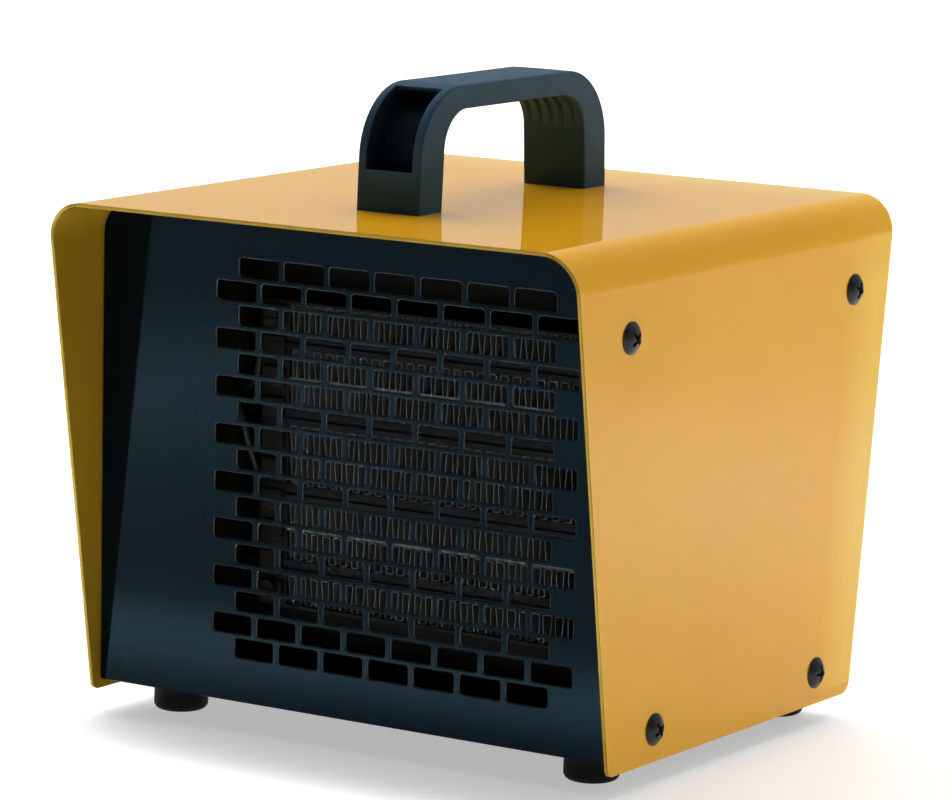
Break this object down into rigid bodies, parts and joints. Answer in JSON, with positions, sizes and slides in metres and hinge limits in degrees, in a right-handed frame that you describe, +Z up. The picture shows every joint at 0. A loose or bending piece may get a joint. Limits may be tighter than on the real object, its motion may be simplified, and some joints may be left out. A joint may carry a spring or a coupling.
{
  "type": "ceramic fan heater",
  "caption": "Portable ceramic fan heater: folded sheet-steel cover, slotted air grille, moulded carry handle, rear dials, cable inlet and rubber feet.",
  "frame": {"origin": "middle of the footprint at floor level, under the roof's centre", "axes": "+Z up, -Y out of the front grille, +X to the right seen from the front"},
  "size_m": [0.2052, 0.2, 0.212],
  "materials": {
    "cover_paint": "glossy yellow-orange powder coat",
    "panel_paint": "glossy black powder coat",
    "handle_plastic": "fine-textured moulded black plastic",
    "knob_plastic": "satin moulded black plastic",
    "fan_plastic": "satin moulded black plastic",
    "gland_plastic": "satin black polyamide",
    "button_plastic": "glossy red plastic",
    "black_screw": "black oxide steel with a light oil sheen",
    "foot_rubber": "matte black rubber",
    "zinc_steel": "zinc-plated steel",
    "core_steel": "laminated electrical steel",
    "fin_aluminium": "thin rolled aluminium",
    "heat_plastic": "heat-resistant cream plastic",
    "bar_metal": "dark anodised aluminium tube",
    "frame_plastic": "dark heat-resistant plastic",
    "copper": "enamelled copper",
    "block_ceramic": "unglazed white ceramic",
    "wire_insulation": "black silicone insulation"
  },
  "bodies": {
    "housing": {"cover": "cover_paint", "front_grille": "panel_paint", "front_flanges": "panel_paint", "rear_panel": "panel_paint", "rear_flanges": "panel_paint", "base_tray": "panel_paint", "handle": "handle_plastic", "handle_screws": "zinc_steel", "handle_washers": "zinc_steel", "cover_screws_left": "black_screw", "cover_screws_right": "black_screw", "foot_front_left": "foot_rubber", "foot_front_right": "foot_rubber", "foot_rear_left": "foot_rubber", "foot_rear_right": "foot_rubber", "foot_screws": "zinc_steel", "foot_nuts": "zinc_steel", "divider": "panel_paint", "heater_baffle": "panel_paint", "fan_shroud": "zinc_steel", "inner_screws": "zinc_steel", "heater_end_left": "frame_plastic", "heater_end_right": "frame_plastic", "heater_rail_top": "fin_aluminium", "heater_rail_bottom": "fin_aluminium", "ptc_bar_1": "bar_metal", "ptc_bar_2": "bar_metal", "ptc_bar_3": "bar_metal", "ptc_bar_4": "bar_metal", "fin_pack_1": "fin_aluminium", "fin_pack_2": "fin_aluminium", "fin_pack_3": "fin_aluminium", "fin_pack_4": "fin_aluminium", "fin_pack_5": "fin_aluminium", "heater_terminals": "copper", "heater_screws": "black_screw", "motor_strut": "zinc_steel", "motor_core": "core_steel", "motor_coil": "copper", "motor_bracket_front": "zinc_steel", "motor_bracket_rear": "zinc_steel", "motor_bolts": "zinc_steel", "thermostat_body": "heat_plastic", "thermostat_bulb": "copper", "selector_body": "heat_plastic", "cutout_body": "knob_plastic", "control_nuts": "zinc_steel", "terminal_block": "block_ceramic", "cable_gland": "gland_plastic", "gland_nut": "gland_plastic", "wire_heater_low": "wire_insulation", "wire_heater_high": "wire_insulation", "wire_motor": "wire_insulation"},
    "fan": {"fan_blade": "fan_plastic", "fan_clip": "zinc_steel", "motor_shaft": "zinc_steel", "motor_rotor": "core_steel"},
    "thermostat_dial": {"thermostat_knob": "knob_plastic", "thermostat_shaft": "zinc_steel"},
    "selector_dial": {"selector_knob": "knob_plastic", "selector_shaft": "zinc_steel"},
    "reset": {"reset_button": "button_plastic"}
  },
  "joints": [
    {"name": "fan_spin", "type": "hinge", "parent": "housing", "child": "fan", "pos_m": [0.0205, 0.001, 0.091], "axis": [0, 1, 0], "continuous": true},
    {"name": "thermostat_turn", "type": "hinge", "parent": "housing", "child": "thermostat_dial", "pos_m": [-0.078, 0.09, 0.126], "axis": [0, -1, 0], "range_deg": [-135, 135]},
    {"name": "selector_turn", "type": "hinge", "parent": "housing", "child": "selector_dial", "pos_m": [-0.078, 0.09, 0.088], "axis": [0, -1, 0], "range_deg": [0, 135]},
    {"name": "reset_press", "type": "slide", "parent": "housing", "child": "reset", "axis": [0, -1, 0], "range_m": [0, 0.002], "stiffness_N_per_m": 150, "springref_m": -0.002}
  ]
}
